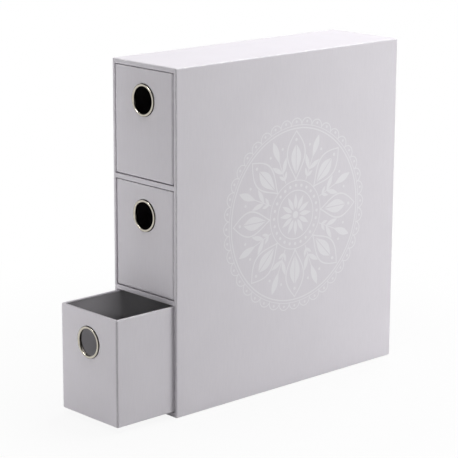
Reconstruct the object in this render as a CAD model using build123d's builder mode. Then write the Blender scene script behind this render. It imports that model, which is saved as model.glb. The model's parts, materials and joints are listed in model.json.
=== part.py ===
"""A tall, narrow case for trading cards, made of papered board, with three drawers one above the other.

The frame: X runs across the front, Y from the front to the back and Z up. The origin is on the floor,
under the middle of the case. Each drawer is a tray of board that holds one row of sleeved cards standing
on edge. It slides on the papered shelf under it and is pulled by a metal finger ring in its front.
The two upper drawers are shut and the bottom one is pulled out a little.
"""

import os

from build123d import *

# What a drawer holds, in millimetres: one row of double-sleeved cards
card_width = 69.0
card_height = 94.0
card_side_room = 2.6  # the cards' play from side to side
card_top_room = 1.4  # from the top of a card to the drawer's rim
card_row_length = 273.2

# Materials
paper = 0.2  # wrapping and lining paper
base_sheet = 0.2  # the sheet glued over the turned-in paper underneath
back_sheet = 0.2
case_board = 2.9  # greyboard of the case's sides and back
level_board = 4.0  # thicker greyboard of the case's bottom, shelves and top
drawer_board = 2.6
ring_metal = 0.4

# How the drawers sit in their openings
drawer_count = 3
side_gap = 0.8
under_gap = 0.5
over_gap = 0.6
back_gap = 0.4
pulled_out = 65.5  # the bottom drawer, as it stands
drawers_aside = {"bottom": 0.25, "middle": 0.25, "top": -0.6}  # in the side play: -1 is left, 1 is right

# Edges and paper margins
case_edge_radius = 1.3
mouth_edge_radius = 0.6  # round the openings in the front of the case
drawer_edge_radius = 2.0
rim_edge_radius = 0.8
case_turn_in = 15.0  # how far the wrapping paper runs into each opening
rim_turn_in = 1.2  # how far it shows below the rim inside a drawer
case_sheet_margin = 2.5  # from the edge of a glued sheet to the edge of the case
drawer_sheet_margin = 2.4

# The finger rings
ring_bore_radius = 12.2
flange_width = 2.6  # from the bore to the flange's outer edge
ring_height = 1.2  # how far the flange stands out of the drawer's front
flange_outer_round = 0.9
flange_inner_round = 0.9
ring_drop = 27.9  # from the drawer's rim down to the ring's centre
ring_hole_gap = 0.1  # between the ring's barrel and the hole in the board
roll_start = 0.4  # how far behind the drawer's front the barrel begins to roll outwards
roll_lip = 0.5  # how far its end then lies flat on the lining

# Sizes that follow from these
drawer_wall = paper + drawer_board + paper
inner_width = card_width + card_side_room
inner_height = card_height + card_top_room
drawer_width = inner_width + 2 * drawer_wall
drawer_length = card_row_length + 2 * drawer_wall
drawer_floor = base_sheet + drawer_wall
drawer_height = drawer_floor + inner_height

slot_width = drawer_width + 2 * side_gap
slot_height = under_gap + drawer_height + over_gap
slot_depth = drawer_length + back_gap
case_wall = paper + case_board + paper
shelf = paper + level_board + paper
case_width = slot_width + 2 * case_wall
case_depth = slot_depth + case_wall
slot_pitch = slot_height + shelf
slot_floors = [base_sheet + shelf + level * slot_pitch for level in range(drawer_count)]
top_of_slots = slot_floors[-1] + slot_height
case_height = top_of_slots + shelf

case_front = -case_depth / 2
case_back = case_depth / 2
front_plane = Plane.XZ.offset(-case_front)  # looks forward, out of the case
board_span = slot_width + 2 * paper  # between the case's two side boards

ring_centre = drawer_height - ring_drop
barrel_radius = ring_bore_radius + ring_metal
roll_back = drawer_wall + ring_metal
roll_radius = roll_back - roll_start
ring_hole_radius = barrel_radius + ring_hole_gap
ring_hole_round = roll_radius - ring_metal - ring_hole_gap

os.makedirs("parts", exist_ok=True)


def save(name, piece):
    """Names a finished piece and writes it to its own STEP file."""
    piece.label = name
    export_step(piece, f"parts/{name}.step")


def slot_block(grown, start, depth):
    """The three drawer openings as solid blocks, each side moved out by grown.

    They begin start behind the case's front and run depth further back.
    """
    with BuildPart() as blocks:
        with BuildSketch(front_plane.offset(-start)):
            with Locations(*[(0, floor + slot_height / 2) for floor in slot_floors]):
                Rectangle(slot_width + 2 * grown, slot_height + 2 * grown)
        extrude(amount=-depth)
    return blocks.part


def case_form(inset):
    """The whole case as one solid with its three openings, inset inside its papered surface.

    With no inset it is the outside of the paper, and inset by the paper's thickness it is the bare board.
    """
    openings = slot_block(inset, 0, slot_depth + inset)
    with BuildPart() as form:
        with BuildSketch(Plane.XY.offset(base_sheet + inset)):
            Rectangle(case_width - 2 * inset, case_depth - 2 * inset)
        extrude(amount=case_height - base_sheet - 2 * inset)
        fillet(form.edges(), case_edge_radius - inset)
        add(openings, mode=Mode.SUBTRACT)
        mouths = form.faces().sort_by(Axis.Y)[0].inner_wires()
        fillet([edge for mouth in mouths for edge in mouth.edges()], mouth_edge_radius - inset)
    return form.part


def shelf_edge_block(level):
    """The front of one shelf with its paper, between the finished sides of the openings."""
    with BuildPart() as block:
        with BuildSketch(front_plane):
            with Locations((0, slot_floors[level] - shelf / 2)):
                Rectangle(slot_width, shelf)
        extrude(amount=-case_turn_in)
    return block.part


case_paper_form = case_form(0)
case_board_form = case_form(paper)
shelf_names = {2: "upper_shelf", 1: "lower_shelf"}


def case_boards():
    """The boards of the case. Each is a flat block, trimmed to the case's rounded board form."""
    side = board_span / 2
    front = case_front + paper
    back = case_back - paper
    slot_back = case_front + slot_depth + paper
    bottom = base_sheet + paper
    top = case_height - paper
    lowest = slot_floors[0] - paper
    highest = top_of_slots + paper
    blocks = {
        "left_panel": ((-side - case_board, front, bottom), (-side, back, top)),
        "right_panel": ((side, front, bottom), (side + case_board, back, top)),
        "top_panel": ((-side, front, highest), (side, back, top)),
        "bottom_panel": ((-side, front, bottom), (side, back, lowest)),
        "back_panel": ((-side, slot_back, lowest), (side, back, highest)),
    }
    for level, name in shelf_names.items():
        shelf_top = slot_floors[level] - paper
        blocks[name] = ((-side, front, shelf_top - level_board), (side, slot_back, shelf_top))
    for name, (low, high) in blocks.items():
        size = Vector(*high) - Vector(*low)
        with BuildPart() as panel:
            with Locations(low):
                Box(*size, align=(Align.MIN, Align.MIN, Align.MIN))
            add(case_board_form, mode=Mode.INTERSECT)
        save(name, panel.part)


def case_papers():
    """The papers of the case: its wrapping, the shelf strips, the linings and the two glued sheets."""
    lined_blocks = slot_block(paper, case_turn_in, slot_depth + paper - case_turn_in)
    edge_blocks = {level: shelf_edge_block(level) for level in shelf_names}
    with BuildPart() as outer_wrap:
        add(case_paper_form)
        add(case_board_form, mode=Mode.SUBTRACT)
        add(lined_blocks, mode=Mode.SUBTRACT)
        add(edge_blocks.values(), mode=Mode.SUBTRACT)
    save("outer_wrap", outer_wrap.part)

    for level, name in shelf_names.items():
        with BuildPart() as strip:
            add(edge_blocks[level])
            add(case_paper_form, mode=Mode.INTERSECT)
            add(case_board_form, mode=Mode.SUBTRACT)
        save(f"{name}_edge_strip", strip.part)

    lined = slot_depth - case_turn_in
    for level, name in enumerate(["bottom", "middle", "top"]):
        middle = (0, slot_floors[level] + slot_height / 2)
        with BuildPart() as lining:
            with BuildSketch(front_plane.offset(-case_turn_in)):
                with Locations(middle):
                    Rectangle(slot_width + 2 * paper, slot_height + 2 * paper)
            extrude(amount=-(lined + paper))
            with BuildSketch(front_plane.offset(-case_turn_in)):
                with Locations(middle):
                    Rectangle(slot_width, slot_height)
            extrude(amount=-lined, mode=Mode.SUBTRACT)
        save(f"{name}_opening_lining", lining.part)

    with BuildPart() as underside_sheet:
        with BuildSketch():
            Rectangle(case_width - 2 * case_sheet_margin, case_depth - 2 * case_sheet_margin)
        extrude(amount=base_sheet)
    save("case_base_sheet", underside_sheet.part)

    with BuildPart() as rear_sheet:
        with BuildSketch(Plane.XZ.offset(-case_back)):
            with Locations((0, (base_sheet + case_height) / 2)):
                Rectangle(
                    case_width - 2 * case_sheet_margin,
                    case_height - base_sheet - 2 * case_sheet_margin,
                )
        extrude(amount=-back_sheet)
    save("case_back_sheet", rear_sheet.part)


def drawer_form(inset):
    """One drawer as a single tray, inset inside its papered surface, with its front on the XZ plane."""
    centre = (0, drawer_length / 2)
    with BuildPart() as form:
        with BuildSketch(Plane.XY.offset(base_sheet + inset)):
            with Locations(centre):
                Rectangle(drawer_width - 2 * inset, drawer_length - 2 * inset)
        extrude(amount=drawer_height - base_sheet - 2 * inset)
        under = form.faces().sort_by(Axis.Z)[0].edges()
        fillet(form.edges().filter_by(Axis.Z) + under, drawer_edge_radius - inset)
        with BuildSketch(Plane.XY.offset(drawer_floor - inset)):
            with Locations(centre):
                Rectangle(inner_width + 2 * inset, card_row_length + 2 * inset)
        extrude(amount=inner_height, mode=Mode.SUBTRACT)
        rim = form.faces().sort_by(Axis.Z)[-1]
        fillet(rim.edges(), rim_edge_radius - inset)
    return form.part


def ring_hole():
    """The hole for the finger ring, as a solid. The ring's roll presses its edge round at the back."""
    edge = ring_centre + ring_hole_radius
    round_start = drawer_wall - ring_hole_round
    with BuildPart() as hole:
        with BuildSketch(Plane.YZ):
            with BuildLine():
                Polyline(
                    (round_start, edge), (0, edge), (0, ring_centre),
                    (drawer_wall, ring_centre), (drawer_wall, edge + ring_hole_round),
                )
                CenterArc(
                    center=(round_start, edge + ring_hole_round), radius=ring_hole_round,
                    start_angle=270, arc_size=90,
                )
            make_face()
        revolve(axis=Axis((0, 0, ring_centre), (0, 1, 0)))
    return hole.part


def drawer_boards(board_form, hole):
    """The five boards of a drawer, as a dictionary of name to solid."""
    side = inner_width / 2 + paper
    outer_side = side + drawer_board
    front = paper + drawer_board
    back = drawer_length - front
    under = base_sheet + paper
    rim = drawer_height - paper
    blocks = {
        "front_board": ((-outer_side, paper, under), (outer_side, front, rim)),
        "back_board": ((-outer_side, back, under), (outer_side, drawer_length - paper, rim)),
        "left_board": ((-outer_side, front, under), (-side, back, rim)),
        "right_board": ((side, front, under), (outer_side, back, rim)),
        "floor_board": ((-side, front, under), (side, back, under + drawer_board)),
    }
    boards = {}
    for name, (low, high) in blocks.items():
        size = Vector(*high) - Vector(*low)
        with BuildPart() as board:
            with Locations(low):
                Box(*size, align=(Align.MIN, Align.MIN, Align.MIN))
            add(board_form, mode=Mode.INTERSECT)
            if name == "front_board":
                add(hole, mode=Mode.SUBTRACT)
        boards[name] = board.part
    return boards


def drawer_papers(paper_form, board_form, hole):
    """The wrapping, the two linings and the glued sheet under a drawer."""
    centre = (0, drawer_length / 2)
    lining_top = drawer_height - rim_turn_in
    with BuildPart() as lined_space:
        with BuildSketch(Plane.XY.offset(drawer_floor - paper)):
            with Locations(centre):
                Rectangle(inner_width + 2 * paper, card_row_length + 2 * paper)
        extrude(amount=lining_top - drawer_floor + paper)
    with BuildPart() as wrap:
        add(paper_form)
        add(board_form, mode=Mode.SUBTRACT)
        add(lined_space.part, mode=Mode.SUBTRACT)
        add(hole, mode=Mode.SUBTRACT)
    with BuildPart() as wall_lining:
        add(lined_space.part)
        with BuildSketch(Plane.XY.offset(drawer_floor - paper)):
            with Locations(centre):
                Rectangle(inner_width, card_row_length)
        extrude(amount=inner_height + paper, mode=Mode.SUBTRACT)
        add(hole, mode=Mode.SUBTRACT)
    with BuildPart() as floor_lining:
        with BuildSketch(Plane.XY.offset(drawer_floor - paper)):
            with Locations(centre):
                Rectangle(inner_width, card_row_length)
        extrude(amount=paper)
    with BuildPart() as under_sheet:
        with BuildSketch():
            with Locations(centre):
                Rectangle(
                    drawer_width - 2 * drawer_sheet_margin,
                    drawer_length - 2 * drawer_sheet_margin,
                )
        extrude(amount=base_sheet)
    return {
        "wrap": wrap.part,
        "wall_lining": wall_lining.part,
        "floor_lining": floor_lining.part,
        "base_sheet": under_sheet.part,
    }


def finger_ring():
    """The pressed metal ring: a raised flange on the front and a barrel that is rolled over at the back."""
    bore = ring_centre + ring_bore_radius
    barrel = ring_centre + barrel_radius
    flange = bore + flange_width
    outer_start = flange_outer_round - ring_height
    inner_start = flange_inner_round - ring_height
    crest_back = ring_metal - ring_height
    roll = bore + roll_radius
    with BuildPart() as ring:
        with BuildSketch(Plane.YZ):
            with BuildLine():
                Polyline(
                    (outer_start, flange - ring_metal), (0, flange - ring_metal),
                    (0, flange), (outer_start, flange),
                )
                JernArc(
                    start=(outer_start, flange), tangent=(-1, 0),
                    radius=flange_outer_round, arc_size=90,
                )
                Line((-ring_height, flange - flange_outer_round), (-ring_height, bore + flange_inner_round))
                JernArc(
                    start=(-ring_height, bore + flange_inner_round), tangent=(0, -1),
                    radius=flange_inner_round, arc_size=90,
                )
                Line((inner_start, bore), (roll_start, bore))
                JernArc(start=(roll_start, bore), tangent=(1, 0), radius=roll_radius, arc_size=90)
                Polyline(
                    (roll_back, roll), (roll_back, roll + roll_lip),
                    (drawer_wall, roll + roll_lip), (drawer_wall, roll),
                )
                JernArc(
                    start=(drawer_wall, roll), tangent=(0, -1),
                    radius=roll_radius - ring_metal, arc_size=-90,
                )
                Line((roll_start, barrel), (inner_start, barrel))
                JernArc(
                    start=(inner_start, barrel), tangent=(-1, 0),
                    radius=flange_inner_round - ring_metal, arc_size=-90,
                )
                Line((crest_back, bore + flange_inner_round), (crest_back, flange - flange_outer_round))
                JernArc(
                    start=(crest_back, flange - flange_outer_round), tangent=(0, 1),
                    radius=flange_outer_round - ring_metal, arc_size=-90,
                )
            make_face()
        revolve(axis=Axis((0, 0, ring_centre), (0, 1, 0)))
    return ring.part


def drawers():
    """Makes one drawer's pieces and writes them three times, each set in its own opening."""
    paper_form = drawer_form(0)
    board_form = drawer_form(paper)
    hole = ring_hole()
    pieces = drawer_boards(board_form, hole)
    pieces.update(drawer_papers(paper_form, board_form, hole))
    pieces["finger_ring"] = finger_ring()
    for level, name in enumerate(["bottom", "middle", "top"]):
        front = case_front - (pulled_out if name == "bottom" else 0)
        place = Location((drawers_aside[name] * side_gap, front, slot_floors[level] + under_gap))
        for kind, piece in pieces.items():
            save(f"{name}_drawer_{kind}", piece.moved(place))


case_boards()
case_papers()
drawers()
print(f"case {case_width:.1f} x {case_depth:.1f} x {case_height:.1f} mm")
print(f"drawer {drawer_width:.1f} x {drawer_length:.1f} x {drawer_height:.1f} mm")
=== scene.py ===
# %% [markdown]
# # A case of papered board with three drawers
# The object is a tall, narrow case for trading cards. It is made as fine stationery is made: grey board is
# glued up into a box, and a pale lilac-grey paper is wrapped round it. Three drawers slide in the case, each
# a tray of the same board, papered outside and lined with charcoal paper, with a bright metal ring to pull
# it by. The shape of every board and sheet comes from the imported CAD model. This script gives it its looks.

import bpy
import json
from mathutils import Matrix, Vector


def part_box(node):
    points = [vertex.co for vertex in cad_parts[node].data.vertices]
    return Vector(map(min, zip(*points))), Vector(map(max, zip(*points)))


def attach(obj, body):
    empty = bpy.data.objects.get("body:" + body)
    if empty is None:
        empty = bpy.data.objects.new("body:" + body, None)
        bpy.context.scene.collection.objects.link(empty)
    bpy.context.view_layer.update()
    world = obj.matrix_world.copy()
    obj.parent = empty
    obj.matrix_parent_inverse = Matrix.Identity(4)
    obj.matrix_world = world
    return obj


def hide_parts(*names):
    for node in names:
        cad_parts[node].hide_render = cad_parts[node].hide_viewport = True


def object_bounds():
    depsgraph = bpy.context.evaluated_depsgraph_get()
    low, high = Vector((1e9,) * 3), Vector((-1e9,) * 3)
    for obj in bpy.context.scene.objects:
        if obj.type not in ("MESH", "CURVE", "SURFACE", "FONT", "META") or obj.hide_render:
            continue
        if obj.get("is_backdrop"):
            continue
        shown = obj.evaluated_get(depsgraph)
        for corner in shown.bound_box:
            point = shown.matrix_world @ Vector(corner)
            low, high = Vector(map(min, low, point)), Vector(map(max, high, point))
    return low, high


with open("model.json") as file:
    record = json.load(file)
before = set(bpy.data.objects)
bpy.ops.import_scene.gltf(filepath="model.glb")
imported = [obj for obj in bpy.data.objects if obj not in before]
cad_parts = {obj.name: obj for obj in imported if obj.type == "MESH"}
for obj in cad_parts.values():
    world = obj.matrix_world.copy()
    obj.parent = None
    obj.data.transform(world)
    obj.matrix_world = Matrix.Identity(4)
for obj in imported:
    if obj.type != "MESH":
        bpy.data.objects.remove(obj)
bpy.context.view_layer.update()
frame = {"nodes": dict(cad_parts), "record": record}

# %% Modules and units
import json
import math

import bpy
import numpy as np
from mathutils import Matrix, Vector

mm = 0.001
drawer_names = ["top", "middle", "bottom"]


def box_mm(node):
    """The lowest and the highest corner of a CAD node, in millimetres."""
    return [[1000 * number for number in corner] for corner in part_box(node)]


# %% [markdown]
# ## Shader maths as Python expressions
# A pattern such as a paper's grain is a formula of the place on the surface. Blender's nodes can be linked by
# hand, but a long formula is easier to read as an expression. So a wire stands for one output socket, and
# adding or multiplying wires adds the Math nodes. Any other node comes from one method of the sheet of nodes.

# %% A wire and the sheet of nodes that it runs on
class Wire:
    """One output socket. Arithmetic on it adds Math nodes and gives the wire that comes out of them."""

    def __init__(self, socket):
        self.socket = socket

    def math(self, operation, *values, clamp=False):
        """Adds a Math node on this wire's sheet, with the given values or wires."""
        nodes = Nodes(self.socket.id_data)
        settings = {"operation": operation, "use_clamp": clamp}
        return nodes.add("ShaderNodeMath", settings, dict(enumerate(values)))

    def __add__(self, other):
        return self.math("ADD", self, other)

    def __sub__(self, other):
        return self.math("SUBTRACT", self, other)

    def __rsub__(self, other):
        return self.math("SUBTRACT", other, self)

    def __mul__(self, other):
        return self.math("MULTIPLY", self, other)

    def __truediv__(self, other):
        return self.math("DIVIDE", self, other)

    def __abs__(self):
        return self.math("ABSOLUTE", self)

    def clamped(self):
        """The same wire, kept from 0 to 1."""
        return self.math("ADD", self, 0, clamp=True)

    __radd__ = __add__
    __rmul__ = __mul__


class Nodes:
    """A node tree with one method that adds any node: its settings first, then its sockets."""

    def __init__(self, tree):
        self.tree = tree

    def add(self, kind, settings=None, sockets=None, output=0):
        """Adds a node of a kind, sets it up and gives the wire from one of its outputs."""
        node = self.tree.nodes.new(kind)
        for name, value in (settings or {}).items():
            setattr(node, name, value)
        for key, value in (sockets or {}).items():
            if isinstance(value, Wire):
                self.tree.links.new(value.socket, node.inputs[key])
            else:
                node.inputs[key].default_value = value
        return Wire(node.outputs[output])


# %% [markdown]
# ## Words for patterns
# Every finish below is built from the same few words: a place in millimetres, noise of a given grain size,
# the least and the most of several wires, and a soft step at zero that turns a distance into a mask.

# %% Places, noise, masks and mixed colours
def linear(*srgb):
    """A colour as the screen shows it, 0 to 255, as the linear colour that a shader takes."""
    shares = np.array(srgb) / 255
    bent = np.where(shares <= 0.04045, shares / 12.92, ((shares + 0.055) / 1.055) ** 2.4)
    return (*bent.tolist(), 1.0)


def new_finish(name):
    """An empty material, its sheet of nodes and the place on the surface in millimetres."""
    material = bpy.data.materials.new(name)
    material.use_nodes = True
    nodes = Nodes(material.node_tree)
    place = nodes.add("ShaderNodeTexCoord", output="Object")
    millimetres = nodes.add("ShaderNodeVectorMath", {"operation": "SCALE"}, {0: place, "Scale": 1000.0})
    return material, nodes, millimetres


def set_shader(material, values):
    """Puts each value, or links each wire, into the socket of that name on the material's shader."""
    shader = material.node_tree.nodes["Principled BSDF"]
    for name, value in values.items():
        if isinstance(value, Wire):
            material.node_tree.links.new(value.socket, shader.inputs[name])
        else:
            shader.inputs[name].default_value = value
    return material


def parts_of(nodes, vector):
    """The three coordinates of a place, each on its own wire."""
    return [nodes.add("ShaderNodeSeparateXYZ", None, {0: vector}, output=axis) for axis in "XYZ"]


def noise(nodes, place, grain, stretch=(1, 1, 1), detail=3.0):
    """Noise from 0 to 1 with grains of the given size in the unit of place, made longer by stretch."""
    scale = [1 / (grain * longer) for longer in stretch]
    squeezed = nodes.add("ShaderNodeMapping", None, {"Vector": place, "Scale": scale})
    return nodes.add("ShaderNodeTexNoise", None, {"Vector": squeezed, "Scale": 1.0, "Detail": detail})


def blend(nodes, share, first, second):
    """A colour between two, with more of the second where the share is greater."""
    return nodes.add("ShaderNodeMix", {"data_type": "RGBA"}, {0: share, 6: first, 7: second}, output=2)


def bump(nodes, height, depth):
    """The normal of a surface with a relief whose height of 1 stands for a depth in millimetres."""
    return nodes.add("ShaderNodeBump", None, {"Height": height, "Distance": depth * mm, "Strength": 1.0})


def least(*wires):
    """The smallest of several wires."""
    low = wires[0]
    for wire in wires[1:]:
        low = low.math("MINIMUM", low, wire)
    return low


def most(*wires):
    """The greatest of several wires."""
    high = wires[0]
    for wire in wires[1:]:
        high = high.math("MAXIMUM", high, wire)
    return high


def inside(distance, softness=0.3):
    """A mask that is 1 where the distance is above zero, with an edge as wide as softness."""
    scaled = distance / softness
    return scaled.math("ADD", scaled, 0.5, clamp=True)


# %% [markdown]
# ## The ornament on the sides
# Each side of the case carries a large pale print. This one is a plain round ornament of leaves, sprigs and
# beads, drawn only by formulas. It could be a picture file, but a formula stays sharp at any size. The trick
# is to fold the plane: all sectors of the circle are laid on one another, so that a single leaf, drawn once
# beside an axis, shows in every sector. A shape is a distance, above zero inside it, and the whole print is
# the most of all the distances.

# %% Shapes that the ornament is made of
def length(across, up):
    """How far a place lies from the middle."""
    squares = across * across + up * up
    return squares.math("SQRT", squares)


def fold(across, up, count, turned=0.0):
    """Lays count equal sectors on one another: the place along the sector's axis and aside from it.

    turned moves the first axis round. Ten whole turns more keep the angle above zero.
    """
    angle = up.math("ARCTAN2", up, across) + (turned + 20 * math.pi)
    folded = angle.math("PINGPONG", angle, math.pi / count)
    radius = length(across, up)
    return radius * folded.math("COSINE", folded), radius * folded.math("SINE", folded)


def between(along, start, end):
    """A distance above zero from start to end."""
    return least(along - start, end - along)


def leaf(along, aside, start, end, half_width, belly=1.0):
    """A leaf from start to end, as wide as a sine's arch. A belly above 1 moves the widest place outwards."""
    share = (along - start) / (end - start)
    share = share.math("MAXIMUM", share, 0)
    arch = share.math("POWER", share, belly) * math.pi
    return least(half_width * arch.math("SINE", arch) - aside, between(along, start, end))


def disc(along, aside, at, aside_at, size):
    """A round spot with its middle at a place in the sector, and of a radius."""
    return size - length(along - at, aside - aside_at)


def line(distance, half_width):
    """A line where the distance is nothing."""
    return half_width - abs(distance)


def side_leaf(along, aside, root, lean, leaf_length, half_width):
    """A leaf that leaves the axis at root and leans away from it by an angle."""
    out = (along - root) * math.cos(lean) + aside * math.sin(lean)
    off = aside * math.cos(lean) - (along - root) * math.sin(lean)
    return leaf(out, abs(off), 0, leaf_length, half_width)


# %% The whole ornament
ornament_middle = (6.0, 165.0)  # along Y and Z, in millimetres
ornament_rim = 84.2
scallop_radius = 6.7
scallop_line = 0.5


def ornament(across, up):
    """The print's mask, from a place in millimetres from its middle."""
    radius = length(across, up)
    shapes = [3.4 - radius, line(radius - 23, 0.5), line(radius - 32.5, 0.45)]
    along, aside = fold(across, up, 12)
    shapes.append(leaf(along, aside, 5.5, 20, 2.2, 0.8))
    along, aside = fold(across, up, 24)
    shapes.append(disc(along, aside, 27.8, 0, 1.5))
    along, aside = fold(across, up, 8)
    outline = line(leaf(along, aside, 33, 79, 11.5, 1.15), 0.75)
    heart = least(leaf(along, aside, 37, 67, 6.4, 1.25), aside - 0.45)
    shapes += [outline, heart, disc(along, aside, 71, 0, 1.5)]
    along, aside = fold(across, up, 8, math.pi / 8)
    stem = least(line(aside, 0.45), between(along, 34, 58))
    shapes += [stem, leaf(along, aside, 55, 78, 3.4, 1.2), disc(along, aside, 66, 8.2, 1.3)]
    shapes.append(side_leaf(along, aside, 44, math.radians(38), 16, 2.3))
    shapes.append(side_leaf(along, aside, 37, math.radians(34), 9, 1.5))
    shapes += [line(radius - 81.5, 0.6), line(radius - ornament_rim, 0.35)]
    along, aside = fold(across, up, 40)
    arch = line(disc(along, aside, ornament_rim, 0, scallop_radius), scallop_line)
    shapes += [least(arch, radius - ornament_rim), disc(along, aside, ornament_rim + 3.4, 0, 1.25)]
    return inside(most(*shapes))


print("ornament", round(2 * (ornament_rim + scallop_radius + scallop_line), 1), "mm across")

# %% [markdown]
# ## The cover paper
# The paper is smooth and matt, with a faint felt grain, fibres that run up the sides and a slow cloudiness
# that any wide sheet has. One flat colour would look like plastic. Real paper is also rubbed a little paler
# along the edges of the box, so the mask of the edges is worked out from the box itself: on a face one of
# the three distances to the box's sides is nearly nothing, and near an edge the second is small too. The
# grain is repeated in the bump and in the roughness, so that a low light shows it.

# %% Cover paper for one body
paper_shades = linear(208, 204.5, 210), linear(219, 215.5, 221)
print_ink = linear(224, 222.5, 226)
greasy_paper = linear(186, 180, 180)
slid_paper = linear(228, 226, 229)
rubbed_paper = linear(235, 233, 234)
creased_paper = linear(150, 146, 150)
grease_reach = 26  # how far from a ring's middle fingers touch the front, in millimetres
sliding_band = 6  # how far below the rim a drawer's side rubs against its opening
worn_edge = 1.8  # how far from the box's edges the paper is rubbed pale
mitre_end = 4.4  # how far in from the outside a mitred corner's cut can run


def distances_to_sides(place, low, high):
    """How far each wire of the place lies inside the two sides of the box that it runs between."""
    axes = zip(place, low, high)
    return [(end - start) / 2 - abs(wire - (start + end) / 2) for wire, start, end in axes]


def cover_paper(name, low, high, mitred_face, printed=None, touched=None, slid=False):
    """Lilac-grey paper on a box from low to high.

    mitred_face tells from the place where the paper's corners are cut at 45 degrees, printed gives the mask
    of a print, touched the height of a finger ring on the front, and slid adds the marks of sliding.
    """
    material, nodes, place = new_finish(name)
    x, y, z = parts_of(nodes, place)
    felt = noise(nodes, place, 0.5)
    fibres = noise(nodes, place, 0.45, stretch=(1, 1, 22))
    clouds = noise(nodes, place, 45, detail=2.0)
    tone = (felt - 0.5) * 0.6 + (fibres - 0.5) * 0.9 + (clouds - 0.5) * 0.5 + 0.5
    colour = blend(nodes, tone.clamped(), *paper_shades)
    roughness = 0.6 + (felt - 0.5) * 0.2
    relief = felt * 0.6 + fibres * 0.5

    if printed:
        mask = printed(nodes, x, y, z)
        colour = blend(nodes, mask, colour, print_ink)
        roughness = roughness - mask * 0.16
        relief = relief + mask * 0.25
    if touched:
        reach = length(x, z - touched)
        smears = noise(nodes, place, 9, detail=4.0)
        grease = inside(grease_reach - reach, 20) * inside(low[1] + 1 - y) * smears
        colour = blend(nodes, grease * 0.22, colour, greasy_paper)
        roughness = roughness - grease * 0.12
    sides = distances_to_sides((x, y, z), low, high)
    if slid:
        streaks = inside(noise(nodes, place, 1.2, stretch=(1, 60, 1), detail=5.0) - 0.58, 0.1)
        rubbing = streaks * inside(sliding_band - sides[2], 8) * inside(y - low[1] - 8, 12)
        colour = blend(nodes, rubbing * 0.15, colour, slid_paper)
        roughness = roughness - rubbing * 0.1
    farthest = most(*sides)
    second = most(least(sides[0], sides[1]), least(most(sides[0], sides[1]), sides[2]))
    patches = noise(nodes, place, 7, detail=5.0)
    rubbed = inside(patches - 0.5 - second * 0.12, 0.2) * inside(worn_edge - second, 1.6)
    colour = blend(nodes, rubbed * 0.5, colour, rubbed_paper)
    cut = inside(0.08 - (farthest - second), 0.1) * inside(mitre_end - farthest)
    crease = cut * inside(mitred_face(x, y, z))
    colour = blend(nodes, crease * 0.55, colour, creased_paper)
    return set_shader(material, {
        "Base Color": colour, "Roughness": roughness + rubbed * 0.15,
        "Normal": bump(nodes, relief - crease * 2, 0.02), "Specular IOR Level": 0.4,
    })


# %% [markdown]
# The case and each drawer get a paper of their own, because the edges of each lie elsewhere. The case's
# paper carries the ornament on both sides, and a drawer's has a touch of grease round its ring, where
# fingers land, and streaks where it slides along its opening.

# %% Cover papers of the case and the drawers
side_skin = 0.4  # the print's depth from the case's side, which keeps it off the edges' rounding
front_skin, rim_skin = 0.5, 0.9  # how deep from the case's front and the drawers' rim the mitres run


def printed_on_the_sides(nodes, x, y, z):
    """The ornament, on the two faces that look left and right alone."""
    drawing = ornament(y - ornament_middle[0], z - ornament_middle[1])
    worn = noise(nodes, nodes.add("ShaderNodeCombineXYZ", None, {0: x, 1: y, 2: z}), 1.5, detail=4.0)
    return drawing * inside(abs(x) - (case_high[0] - side_skin)) * (0.82 + 0.18 * inside(0.62 - worn, 0.1))


case_low, case_high = box_mm("outer_wrap")
case_cover = cover_paper(
    "case_cover_paper", case_low, case_high,
    mitred_face=lambda x, y, z: case_low[1] + front_skin - y, printed=printed_on_the_sides,
)
drawer_covers = {}
for name in drawer_names:
    low, high = box_mm(f"{name}_drawer_wrap")
    ring_low, ring_high = box_mm(f"{name}_drawer_finger_ring")
    ring_centre = (ring_low[2] + ring_high[2]) / 2
    drawer_covers[name] = cover_paper(
        f"{name}_drawer_cover_paper", low, high,
        mitred_face=lambda x, y, z, top=high[2]: z - (top - rim_skin), touched=ring_centre, slid=True,
    )
    print(name, "drawer, ring centre at", round(ring_centre, 1), "mm")

# %% [markdown]
# ## Lining and board
# The lining is a dyed charcoal paper, duller than the cover, with paler fibres that run level. The board is
# always covered and never seen on the whole box, but its finish is kept true: pulped waste paper with specks.

# %% Lining paper
lining, nodes, place = new_finish("charcoal_lining_paper")
felt = noise(nodes, place, 0.6)
threads = noise(nodes, place, 0.25, stretch=(9, 9, 1), detail=5.0)
clouds = noise(nodes, place, 30, detail=3.0)
tone = (felt - 0.5) * 0.8 + (clouds - 0.5) * 0.9 + 0.5
colour = blend(nodes, tone.clamped(), linear(131, 129, 132), linear(143, 141, 144))
colour = blend(nodes, inside(threads - 0.66, 0.08) * 0.35, colour, linear(165, 163, 166))
set_shader(lining, {
    "Base Color": colour, "Roughness": 0.82 + (felt - 0.5) * 0.2, "Specular IOR Level": 0.3,
    "Normal": bump(nodes, felt + threads * 0.4, 0.03),
})

# %% Greyboard
board, nodes, place = new_finish("greyboard")
pulp = noise(nodes, place, 1.1, detail=6.0)
specks = inside(noise(nodes, place, 0.5, detail=2.0) - 0.68, 0.06)
colour = blend(nodes, pulp, linear(138, 133, 127), linear(164, 159, 152))
colour = blend(nodes, specks * 0.7, colour, linear(96, 90, 84))
set_shader(board, {"Base Color": colour, "Roughness": 0.9, "Normal": bump(nodes, pulp, 0.08)})
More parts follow.
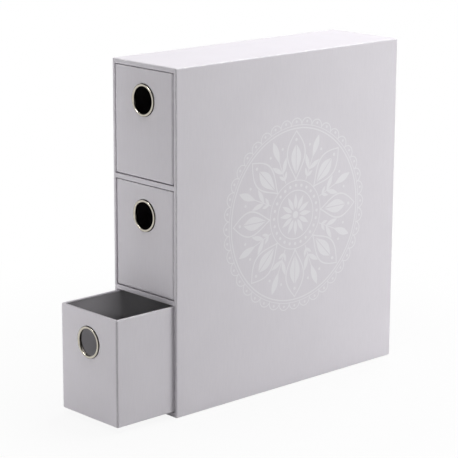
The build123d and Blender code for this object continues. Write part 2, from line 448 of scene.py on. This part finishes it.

# %% [markdown]
# ## Nickel
# The metal is bright nickel, with fine rings from turning and dull touches left by fingers. Along the
# flange's outer foot, where it meets the paper, a thin dark line and rougher metal are painted on: a painted
# dark reflection and painted shade. The shader could work this out from how close the paper is, but the
# ring's
# map gives it more evenly: its second coordinate is the way across the sheet from that foot.

# %% Nickel, on the rings' own map of millimetres round and across
nickel_shades = linear(194, 189, 177), linear(172, 166, 154)
# Painted dark reflection and painted shade along the flange's foot: its colour, then the width of the line.
nickel_painted_dark_reflection = linear(38, 34, 31)
painted_dark_foot_width = 1.15  # across the sheet from the flange's foot, in millimetres
nickel, nodes, place = new_finish("nickel_plate")
ring_map = nodes.add("ShaderNodeUVMap", {"uv_map": "round_and_across"})
turning = noise(nodes, ring_map, 0.08, stretch=(160, 1, 1), detail=4.0)
fingers = noise(nodes, place, 3.5, detail=4.0)
dulled = inside(fingers - 0.55, 0.2)
colour = blend(nodes, turning * 0.5 + dulled * 0.25, *nickel_shades)
# The painted dark line at the flange's foot: darker colour, and rougher metal in the shader below.
painted_dark_foot = inside(painted_dark_foot_width - parts_of(nodes, ring_map)[1], 0.5)
colour = blend(nodes, painted_dark_foot * 0.95, colour, nickel_painted_dark_reflection)
set_shader(nickel, {
    "Base Color": colour, "Metallic": 1.0, "Roughness": 0.07 + turning * 0.06 + dulled * 0.08 + painted_dark_foot * 0.3,
    "Normal": bump(nodes, turning, 0.003),
})

# %% [markdown]
# ## A finish for every board and sheet
# The model's record says which material each node is made of. The three shared finishes follow from that
# word alone, and a cover paper also from the body that the node belongs to.

# %% Finishes of the CAD nodes
shared_finishes = {"lining_paper": lining, "greyboard": board, "ring_metal": nickel}
for entry in frame["record"]["subparts"]:
    name = entry["node"]
    drawer = name.split("_drawer_")[0]
    cover = drawer_covers.get(drawer, case_cover)
    finish = shared_finishes.get(entry["material_slot"], cover)
    node = frame["nodes"][name]
    node.data.materials.clear()
    node.data.materials.append(finish)

# %% [markdown]
# ## The finger rings
# A finger ring is pressed from one piece of thin sheet metal: a flange that stands a little out of the front,
# a barrel through the board, and an end that is rolled outwards over the lining. The CAD ring has the right
# size, but its rounding is made of a few facets, which a bright metal gives away. So each ring is worked out
# again as a surface of revolution, much finer, and takes the place of the CAD one. The sheet's edge at the
# back isn't a true circle: rolling it over leaves shallow waves.

# %% A surface of revolution with a map of its own
def turned(name, profile, centre, around=192, waves=None, wave_count=10):
    """Turns a closed profile about a line along Y through the centre.

    The profile is a loop of (y, radius) in millimetres, counted from the centre. The surface's place at an
    angle is the centre plus (radius times cosine, y, radius times sine). waves holds, for each point of the
    profile, how far its radius swings wave_count times round the circle.
    """
    angles = np.linspace(0, 2 * np.pi, around, endpoint=False)
    depths, radii = np.array(profile).T
    swings = np.zeros_like(radii) if waves is None else np.array(waves)
    swung = radii[None, :] + swings[None, :] * np.cos(wave_count * angles)[:, None]
    points = np.stack([
        swung * np.cos(angles)[:, None],
        np.broadcast_to(depths, swung.shape),
        swung * np.sin(angles)[:, None],
    ], axis=-1) + np.array(centre)
    count = len(radii)
    grid = np.arange(around * count).reshape(around, count)
    onwards = np.roll(grid, -1, axis=0)
    quads = np.stack([grid, onwards, np.roll(onwards, -1, axis=1), np.roll(grid, -1, axis=1)], axis=-1)
    steps = np.linalg.norm(np.roll(points[0], -1, axis=0) - points[0], axis=1)
    across = np.concatenate([[0.0], np.cumsum(steps)])
    run = np.arange(around + 1) / around * 2 * np.pi * radii.mean()
    columns, rows = np.meshgrid(np.arange(around), np.arange(count), indexing="ij")
    corners = [(columns, rows), (columns + 1, rows), (columns + 1, rows + 1), (columns, rows + 1)]
    coordinates = np.stack([np.stack([run[c], across[r]], axis=-1) for c, r in corners], axis=2)

    mesh = bpy.data.meshes.new(name)
    mesh.from_pydata((points * mm).reshape(-1, 3), [], quads.reshape(-1, 4))
    layer = mesh.uv_layers.new(name="round_and_across")
    layer.data.foreach_set("uv", coordinates.reshape(-1))
    mesh.shade_smooth()
    mesh.update()
    piece = bpy.data.objects.new(name, mesh)
    bpy.context.scene.collection.objects.link(piece)
    return piece


# %% The ring's profile
def arc(centre, radius, start, end, steps=20):
    """Points on a circle about (y, radius) from one angle to the other, where 0 looks along +Y."""
    angles = np.linspace(np.radians(start), np.radians(end), steps)
    return np.stack([centre[0] + radius * np.cos(angles), centre[1] + radius * np.sin(angles)], axis=-1)


def straight(start, end, steps=8):
    """Points along a line between two places, without the two ends."""
    return np.linspace(start, end, steps + 2)[1:-1]


def sheet(path, thickness):
    """Gives a path in the plane a thickness to its left and closes it to a loop."""
    steps = np.gradient(path, axis=0)
    steps /= np.linalg.norm(steps, axis=1)[:, None]
    inner = path + thickness * np.stack([-steps[:, 1], steps[:, 0]], axis=-1)
    return np.concatenate([path, inner[::-1]])


ring_metal, drawer_wall = 0.4, 3.0
bore_radius, flange_radius, flange_height, flange_round = 12.2, 14.8, 1.2, 0.9
roll_start, roll_lip = 0.4, 0.5

flange_inside = flange_round - flange_height
crown_in, crown_out = bore_radius + flange_round, flange_radius - flange_round
roll_back = drawer_wall + ring_metal
roll_radius = roll_back - roll_start
roll_end = bore_radius + roll_radius + roll_lip
path = np.concatenate([
    [(0, flange_radius), (flange_inside / 2, flange_radius)],
    arc((flange_inside, crown_out), flange_round, 90, 180, 24),
    straight((-flange_height, crown_out), (-flange_height, crown_in), 3),
    arc((flange_inside, crown_in), flange_round, 180, 270, 24),
    straight((flange_inside, bore_radius), (roll_start, bore_radius), 4),
    arc((roll_start, bore_radius + roll_radius), roll_radius, 270, 360, 32),
    [(roll_back, roll_end - roll_lip / 2), (roll_back, roll_end)],
])
ring_profile = sheet(path, ring_metal)
print("ring profile of", len(ring_profile), "points")

# %% Rings of the three drawers
wavy_width = 1.5  # of the rolled end, in millimetres
wave_steepness = 0.06  # how much the radius swings for each millimetre of that width
behind_the_board = ring_profile[:, 0] > drawer_wall - 0.5
near_the_end = np.clip(ring_profile[:, 1] - roll_end + wavy_width, 0, None)
roll_waves = near_the_end * behind_the_board * wave_steepness


def extent_mm(low, high):
    """The three sides of a box, from two corners in metres."""
    return [round(1000 * (end - start), 2) for start, end in zip(low, high)]


for name in drawer_names:
    body = f"{name}_drawer"
    drawer_front = box_mm(f"{body}_wrap")[0][1]
    ring_low, ring_high = box_mm(f"{body}_finger_ring")
    centre = ((ring_low[0] + ring_high[0]) / 2, drawer_front, (ring_low[2] + ring_high[2]) / 2)
    ring = turned(f"{body}_bright_ring", ring_profile, centre, waves=roll_waves)
    ring.data.materials.append(nickel)
    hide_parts(f"{body}_finger_ring")
    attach(ring, body)
    corners = np.array(ring.bound_box)
    made, packed = extent_mm(corners.min(0), corners.max(0)), extent_mm(*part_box(f"{body}_finger_ring"))
    print(ring.name, made, "mm, in the CAD", packed, "mm")

# %% [markdown]
# ## The camera
# The camera stands where the photograph's did: low, and turned to the box's right front corner. Its place,
# its turns and its long lens were worked out together with the box's proportions, so that all the straight
# edges fall where they do in the photograph. The roll is the quarter degree by which that one wasn't level.

# %% Camera
camera_place = Vector((1.232, -1.1878, 0.5656))
camera_turn = math.radians(46.985)
camera_dip = math.radians(13.834)
camera_roll = math.radians(0.254)
sensor = 36.0
focal_pixels = 1864.3
picture_width = 458
lens = bpy.data.cameras.new("camera")
lens.sensor_width = sensor
lens.lens = focal_pixels / picture_width * sensor
camera = bpy.data.objects.new("camera", lens)
camera.matrix_world = (
    Matrix.Translation(camera_place)
    @ Matrix.Rotation(camera_turn, 4, "Z")
    @ Matrix.Rotation(math.pi / 2 - camera_dip, 4, "X")
    @ Matrix.Rotation(camera_roll, 4, "Z")
)
bpy.context.scene.collection.objects.link(camera)
bpy.context.scene.camera = camera
print("camera", round(camera_place.length, 2), "m from the box's foot, lens of", round(lens.lens, 1), "mm")

# %% [markdown]
# ## A white floor that keeps a faint shadow
# The object stands alone on white. More light would burn out the pale paper, so the floor is grey to the
# light and white to the eye: the Light Path node tells the rays of the camera and of reflections from the
# rest. Near the object a part of the floor's own shading stays, which is the soft shadow that it stands on.

# %% Floor
def smooth_fall(nodes, wire, start, end, first, last):
    """A wire that goes smoothly from the first value to the last as the given one goes from start to end."""
    settings = {"interpolation_type": "SMOOTHSTEP"}
    return nodes.add("ShaderNodeMapRange", settings, {0: wire, 1: start, 2: end, 3: first, 4: last})


def seen_by_the_eye(nodes):
    """1 for the rays of the camera, of reflections and of glass, and 0 for those that carry light."""
    kinds = ["Is Camera Ray", "Is Glossy Ray", "Is Transmission Ray"]
    return most(*[nodes.add("ShaderNodeLightPath", output=kind) for kind in kinds])


def white_to_the_eye(nodes, shader, keep, output):
    """Shows pure white to the eye, all but a share of the surface's own shading.

    keep is that share, a number or a wire. Every other ray sees the surface's own shading alone.
    """
    seen = seen_by_the_eye(nodes)
    white = nodes.add("ShaderNodeEmission", None, {"Color": (1, 1, 1, 1), "Strength": 1.0})
    mixed = nodes.add("ShaderNodeMixShader", None, {0: seen * (1 - keep), 1: shader, 2: white})
    nodes.tree.links.new(mixed.socket, output)


floor_grey = 0.6
shadow_share = 0.1  # of the floor's own shading, kept beside the object
shadow_near, shadow_far = 100, 500  # where that share begins to fade and where it ends, in millimetres
floor_mesh = bpy.data.meshes.new("floor")
reach = 30.0
corners = [(-reach, -reach, 0), (reach, -reach, 0), (reach, reach, 0), (-reach, reach, 0)]
floor_mesh.from_pydata(corners, [], [(0, 1, 2, 3)])
floor = bpy.data.objects.new("floor", floor_mesh)
bpy.context.scene.collection.objects.link(floor)
floor_paint, nodes, place = new_finish("floor")
set_shader(floor_paint, {"Base Color": (floor_grey, floor_grey, floor_grey, 1), "Roughness": 0.9})
floor.data.materials.append(floor_paint)
distance = nodes.add("ShaderNodeVectorMath", {"operation": "LENGTH"}, {0: place}, output="Value")
kept = smooth_fall(nodes, distance, shadow_near, shadow_far, shadow_share, 0.0)
floor_shader = Wire(floor_paint.node_tree.nodes["Principled BSDF"].outputs[0])
white_to_the_eye(nodes, floor_shader, kept, floor_paint.node_tree.nodes["Material Output"].inputs[0])
floor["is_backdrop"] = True
print("floor", 2 * reach, "m wide, shadow out to", shadow_far, "mm")

# %% [markdown]
# ## The light
# A product of pale paper is lit from both sides and left dark towards the camera, so that its edges draw
# themselves as thin dark lines. A low lamp in front fills the drawer fronts. It and the lamp overhead are
# kept out of the reflections, where they would burn the rings out, and a small lamp that only shows in
# reflections gives the rings their glint. No light from outside gets far down into the open drawer, so two
# spots shine in over its rim: the dark lining shows its depth, and there is light behind the ring's hole.
# They are linked to that lining alone and leave no spot of light on the paper when the drawers move.

# %% Lamps
def hang(name, lamp, place, aim):
    """Puts a lamp at a place, turns it to shine at its aim and gives it back."""
    made = bpy.data.objects.new(name, lamp)
    away = Vector(place) - Vector(aim)
    made.matrix_world = Matrix.Translation(place) @ away.to_track_quat("Z", "Y").to_matrix().to_4x4()
    bpy.context.scene.collection.objects.link(made)
    return made


def softbox(name, place, aim, size, watts):
    """A square lamp of soft light."""
    lamp = bpy.data.lights.new(name, "AREA")
    lamp.size = size
    lamp.energy = watts
    return hang(name, lamp, place, aim)


def drawer_spot(name, place, aim, angle, size, watts):
    """A narrow spot lamp with a soft rim that lights nothing but the open drawer's lining."""
    lamp = bpy.data.lights.new(name, "SPOT")
    lamp.energy = watts
    lamp.spot_size = math.radians(angle)
    lamp.spot_blend = 1.0
    lamp.shadow_soft_size = size
    hang(name, lamp, place, aim).light_linking.receiver_collection = open_lining


open_lining = bpy.data.collections.new("open_lining")
for name in ["wall_lining", "floor_lining"]:
    open_lining.objects.link(frame["nodes"][f"bottom_drawer_{name}"])
middle = (0, 0, 0.15)
softbox("back_top_box", (0.0, 0.75, 1.8), middle, 1.2, 35.5)
softbox("front_left_box", (-0.48, -0.72, 0.09), middle, 0.16, 2.6).visible_glossy = False
softbox("front_sparkle", (-0.8, -1.8, 0.85), middle, 0.4, 10).visible_diffuse = False
softbox("near_right_box", (0.8, 0.7, 0.25), middle, 0.6, 6.5)
softbox("over_box", (0.25, -0.45, 1.6), middle, 0.7, 8.2).visible_glossy = False
drawer_spot("drawer_lamp", (0.2, -0.186, 0.75), (-0.036, -0.18, 0.06), 6.4, 0.02, 25)
drawer_spot("opening_lamp", (0.9, -1.2, 0.5), (-0.035, -0.12, 0.09), 3.0, 0.03, 28)

# %% [markdown]
# ## The studio round it
# The world gives a little light from everywhere, as the walls of a studio do. The eye, and the metal, see it
# white near the horizon, like the floor, and nearly dark higher up, which gives the bright rings a dark side.

# %% World
horizon_white, overhead_level = 1.0, 0.08
white_below, dark_above = 0.1, 0.35  # heights on a sky with a radius of 1
ambient = 0.02
world = bpy.data.worlds.new("studio")
world.use_nodes = True
bpy.context.scene.world = world
world_nodes = Nodes(world.node_tree)
direction = world_nodes.add("ShaderNodeTexCoord", output="Object")
height = world_nodes.add("ShaderNodeSeparateXYZ", None, {0: direction}, output="Z")
seen_level = smooth_fall(world_nodes, height, white_below, dark_above, horizon_white, overhead_level)
seen = seen_by_the_eye(world_nodes)
strength = seen * seen_level + (1 - seen) * ambient
world.node_tree.links.new(strength.socket, world.node_tree.nodes["Background"].inputs["Strength"])
world.node_tree.nodes["Background"].inputs["Color"].default_value = (1, 1, 1, 1)
bpy.context.scene.view_settings.view_transform = "Standard"
print("ambient light", ambient)

# %% [markdown]
# ## Sizes
# The last cell works out the box round the object.

# %% Sizes, then the last line
low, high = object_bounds()
